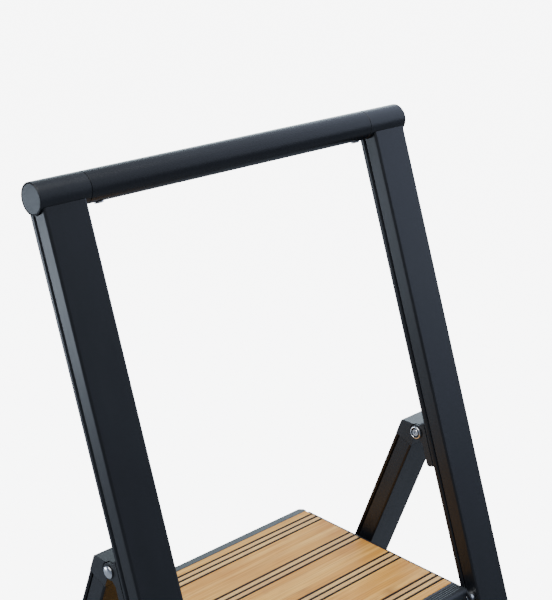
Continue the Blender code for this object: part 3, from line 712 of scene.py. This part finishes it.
# dark marks at the nodes of the cane, a random way along each lamella and not on every one
node_spacing = 0.215
along_cane = math_node(bamboo_grain, "FRACT", math_node(
    bamboo_grain, "ADD", math_node(bamboo_grain, "DIVIDE", wood_split.outputs["X"], node_spacing),
    random_for(lamella_number, 11.3)))
off_node = math_node(bamboo_grain, "ABSOLUTE", math_node(
    bamboo_grain, "SUBTRACT", along_cane, math_node(bamboo_grain, "MULTIPLY_ADD", wandering,
                                                    0.06, 0.47)))
node_mark = raised(off_node, -16.0, 1.0)
for mask in (raised(random_for(lamella_number, 29.1), 1.2, -0.25),
             raised(streaks, 2.4, -0.55)):
    node_mark = math_node(bamboo_grain, "MULTIPLY", node_mark, mask)

# fine dark line where two lamellae meet
joint_line = math_node(bamboo_grain, "ABSOLUTE", math_node(
    bamboo_grain, "SUBTRACT", math_node(bamboo_grain, "FRACT", lamella_place), 0.5))
joint_line = raised(joint_line, 70.0, -34.2)

# each lamella has its own tone, and the marks lie over it one after another
wood_colour = mix_colours(bamboo_grain, random_for(lamella_number, 3.7),
                          (0.630, 0.295, 0.048), (0.820, 0.455, 0.098))
for mask, colour in ((raised(blotches, 3.0, -1.10), (0.540, 0.230, 0.040)),
                     (raised(streaks, 2.6, -1.15), (0.920, 0.580, 0.160)),
                     (raised(fibres, 3.0, -1.25), (0.400, 0.165, 0.035)),
                     (raised(knots, 6.0, -3.85), (0.470, 0.215, 0.060)),
                     (math_node(bamboo_grain, "MULTIPLY", node_mark, 0.75),
                      (0.270, 0.115, 0.035)),
                     (math_node(bamboo_grain, "MULTIPLY", joint_line, 0.35),
                      (0.300, 0.170, 0.070))):
    wood_colour = mix_colours(bamboo_grain, mask, wood_colour, colour)
bamboo_grain.links.new(wood_colour, bamboo_out.inputs["Wood Colour"])
bamboo_grain.links.new(fibres, bamboo_out.inputs["Fibres"])
bamboo_grain.links.new(joint_line, bamboo_out.inputs["Joints"])


def bamboo(name, rear_band, band_pitch, top):
    """Bamboo for one board, from the middle of its rear grip band and its top's height."""
    material, tree, shader = new_material(name, (0.62, 0.42, 0.21), 0.45)
    place = object_position(tree, location=(0, -rear_band, -top))
    wood = place_group(tree, bamboo_grain, {"Lamella": lamella_width})
    tree.links.new(place, wood.inputs["Position"])
    split = tree.nodes.new("ShaderNodeSeparateXYZ")
    tree.links.new(place, split.inputs["Vector"])
    band = math_node(tree, "FRACT", math_node(
        tree, "ADD", math_node(tree, "DIVIDE", split.outputs["Y"], band_pitch), 0.5))
    band = math_node(tree, "ABSOLUTE", math_node(tree, "SUBTRACT", band, 0.5))
    band = math_node(tree, "LESS_THAN", band, stippled_half / band_pitch)
    band = math_node(tree, "MULTIPLY", band, math_node(tree, "GREATER_THAN",
                                                       split.outputs["Z"], -0.0006))
    stipple = tree.nodes.new("ShaderNodeTexVoronoi")
    stipple.inputs["Scale"].default_value = 1.0
    tree.links.new(mapped(tree, place, scale=(900, 420, 420)), stipple.inputs["Vector"])
    dots = math_node(tree, "MULTIPLY", math_node(
        tree, "MULTIPLY_ADD", stipple.outputs["Distance"], 1.8, -0.35, clamp=True), band)
    pale = mix_colours(tree, math_node(tree, "MULTIPLY", band, 0.30),
                       wood.outputs["Wood Colour"], (0.90, 0.66, 0.34))
    pale = mix_colours(tree, math_node(tree, "MULTIPLY", dots, 0.38), pale,
                       (0.38, 0.21, 0.08))
    tree.links.new(pale, shader.inputs["Base Color"])
    tree.links.new(math_node(tree, "MULTIPLY_ADD", wood.outputs["Fibres"], 0.20, 0.42),
                   shader.inputs["Roughness"])
    shader.inputs["Coat Weight"].default_value = 0.03
    shader.inputs["Coat Roughness"].default_value = 0.30
    shader.inputs["Specular IOR Level"].default_value = 0.12
    relief = math_node(tree, "MULTIPLY_ADD", dots, -2.5, wood.outputs["Fibres"])
    relief = math_node(tree, "SUBTRACT", relief, wood.outputs["Joints"])
    bump(tree, shader, relief, 0.00005, 0.35)
    return material


half_band = 0.0088
band_count = 4
for tread_name in ("top_tread", "lower_tread"):
    strip_low, strip_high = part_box(tread_name + "_grip_inlay")
    rear_band = strip_high[1] - half_band
    band_pitch = (rear_band - strip_low[1] - half_band) / (band_count - 1)
    board_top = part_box(tread_name + "_board")[1][2]
    board = add_piece(tread_name + "_bamboo", merged_copy(tread_name + "_board"),
                      bamboo(tread_name + "_bamboo", rear_band, band_pitch, board_top),
                      tread_name, tread_name + "_board")
    soften(board, 0.00025, 1)


# ---- Grip strips ----
# Soft black-brown strips pressed into the boards' slots, moulded as one piece with a bar down
# each end of the board.

grip_finish = grained("grip_rubber", (0.008, 0.0055, 0.0040), (0.015, 0.0105, 0.0075), 0.68,
                      grain=1500.0, depth=0.00005, specular=0.2)
for tread_name in ("top_tread", "lower_tread"):
    grip = add_piece(tread_name + "_grip", merged_copy(tread_name + "_grip_inlay"), grip_finish,
                     tread_name, tread_name + "_grip_inlay")
    soften(grip, 0.00025, 2)


# ---- Tread edges ----
# A moulded nosing with fine flutes wraps each board's front edge, and a plain moulded trim its
# rear edge. Both hook under the board.

trim_finish = grained("moulded_trim", (0.013, 0.0155, 0.019), (0.018, 0.021, 0.026), 0.40)
first_flute = 0.0045
flute_pitch = 0.0026
flute_half = 0.0008
flute_depth = 0.0006
flute_count = 5


def lowered(top, near=0.0003):
    """A move that lowers the points of a face at this height and leaves all others."""
    return lambda point, line: Vector((0, 0, -flute_depth if point.z > top - near else 0))


for tread_name in ("top_tread", "lower_tread"):
    nosing_low, nosing_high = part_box(tread_name + "_nosing")
    flutes = [nosing_low[1] + first_flute + flute_pitch * number
              for number in range(flute_count)]
    nosing_solid = merged_copy(tread_name + "_nosing")
    cut_grooves(nosing_solid, (0, 1, 0), flutes, flute_half, lowered(nosing_high[2]))
    nosing = add_piece(tread_name + "_front_edge", nosing_solid, trim_finish, tread_name,
                       tread_name + "_nosing")
    soften(nosing, 0.0002, 1)
    trim = add_piece(tread_name + "_back_edge", merged_copy(tread_name + "_rear_trim"),
                     trim_finish, tread_name, tread_name + "_rear_trim")
    soften(trim, 0.0005)


# ---- Tread ends ----
# A moulded cheek under each end of a tread turns on a steel stud in the rail. It carries a
# steel rivet for the tie bar.

for tread_name in ("top_tread", "lower_tread"):
    for side_name in ("left", "right"):
        cheek = add_piece(tread_name + "_end_" + side_name,
                          merged_copy(tread_name + "_cheek_" + side_name), trim_finish,
                          tread_name, tread_name + "_cheek_" + side_name)
        soften(cheek, 0.0004)
        for prefix, body_name in ((tread_name + "_tie_rivet_", tread_name),
                                  (tread_name + "_stud_", "front_frame")):
            turned_part = add_piece("dressed_" + prefix + side_name,
                                    merged_copy(prefix + side_name), steel, body_name,
                                    prefix + side_name)
            soften(turned_part, 0.0002, 1)


# ---- Tie bars and catches ----
# Flat black bars hang from the top tread's rivets to the lower tread's. Two nylon catches
# under the top tread hook over the upper cross tube.

for side_name in ("left", "right"):
    tie_bar = add_piece("dressed_tie_bar_" + side_name, merged_copy("tie_bar_" + side_name),
                        bracket_finish, "tie_bar_" + side_name, "tie_bar_" + side_name)
    soften(tie_bar, 0.0004)
    catch = add_piece("catch_" + side_name, merged_copy("tread_catch_" + side_name), nylon,
                      "top_tread", "tread_catch_" + side_name)
    soften(catch, 0.0004)
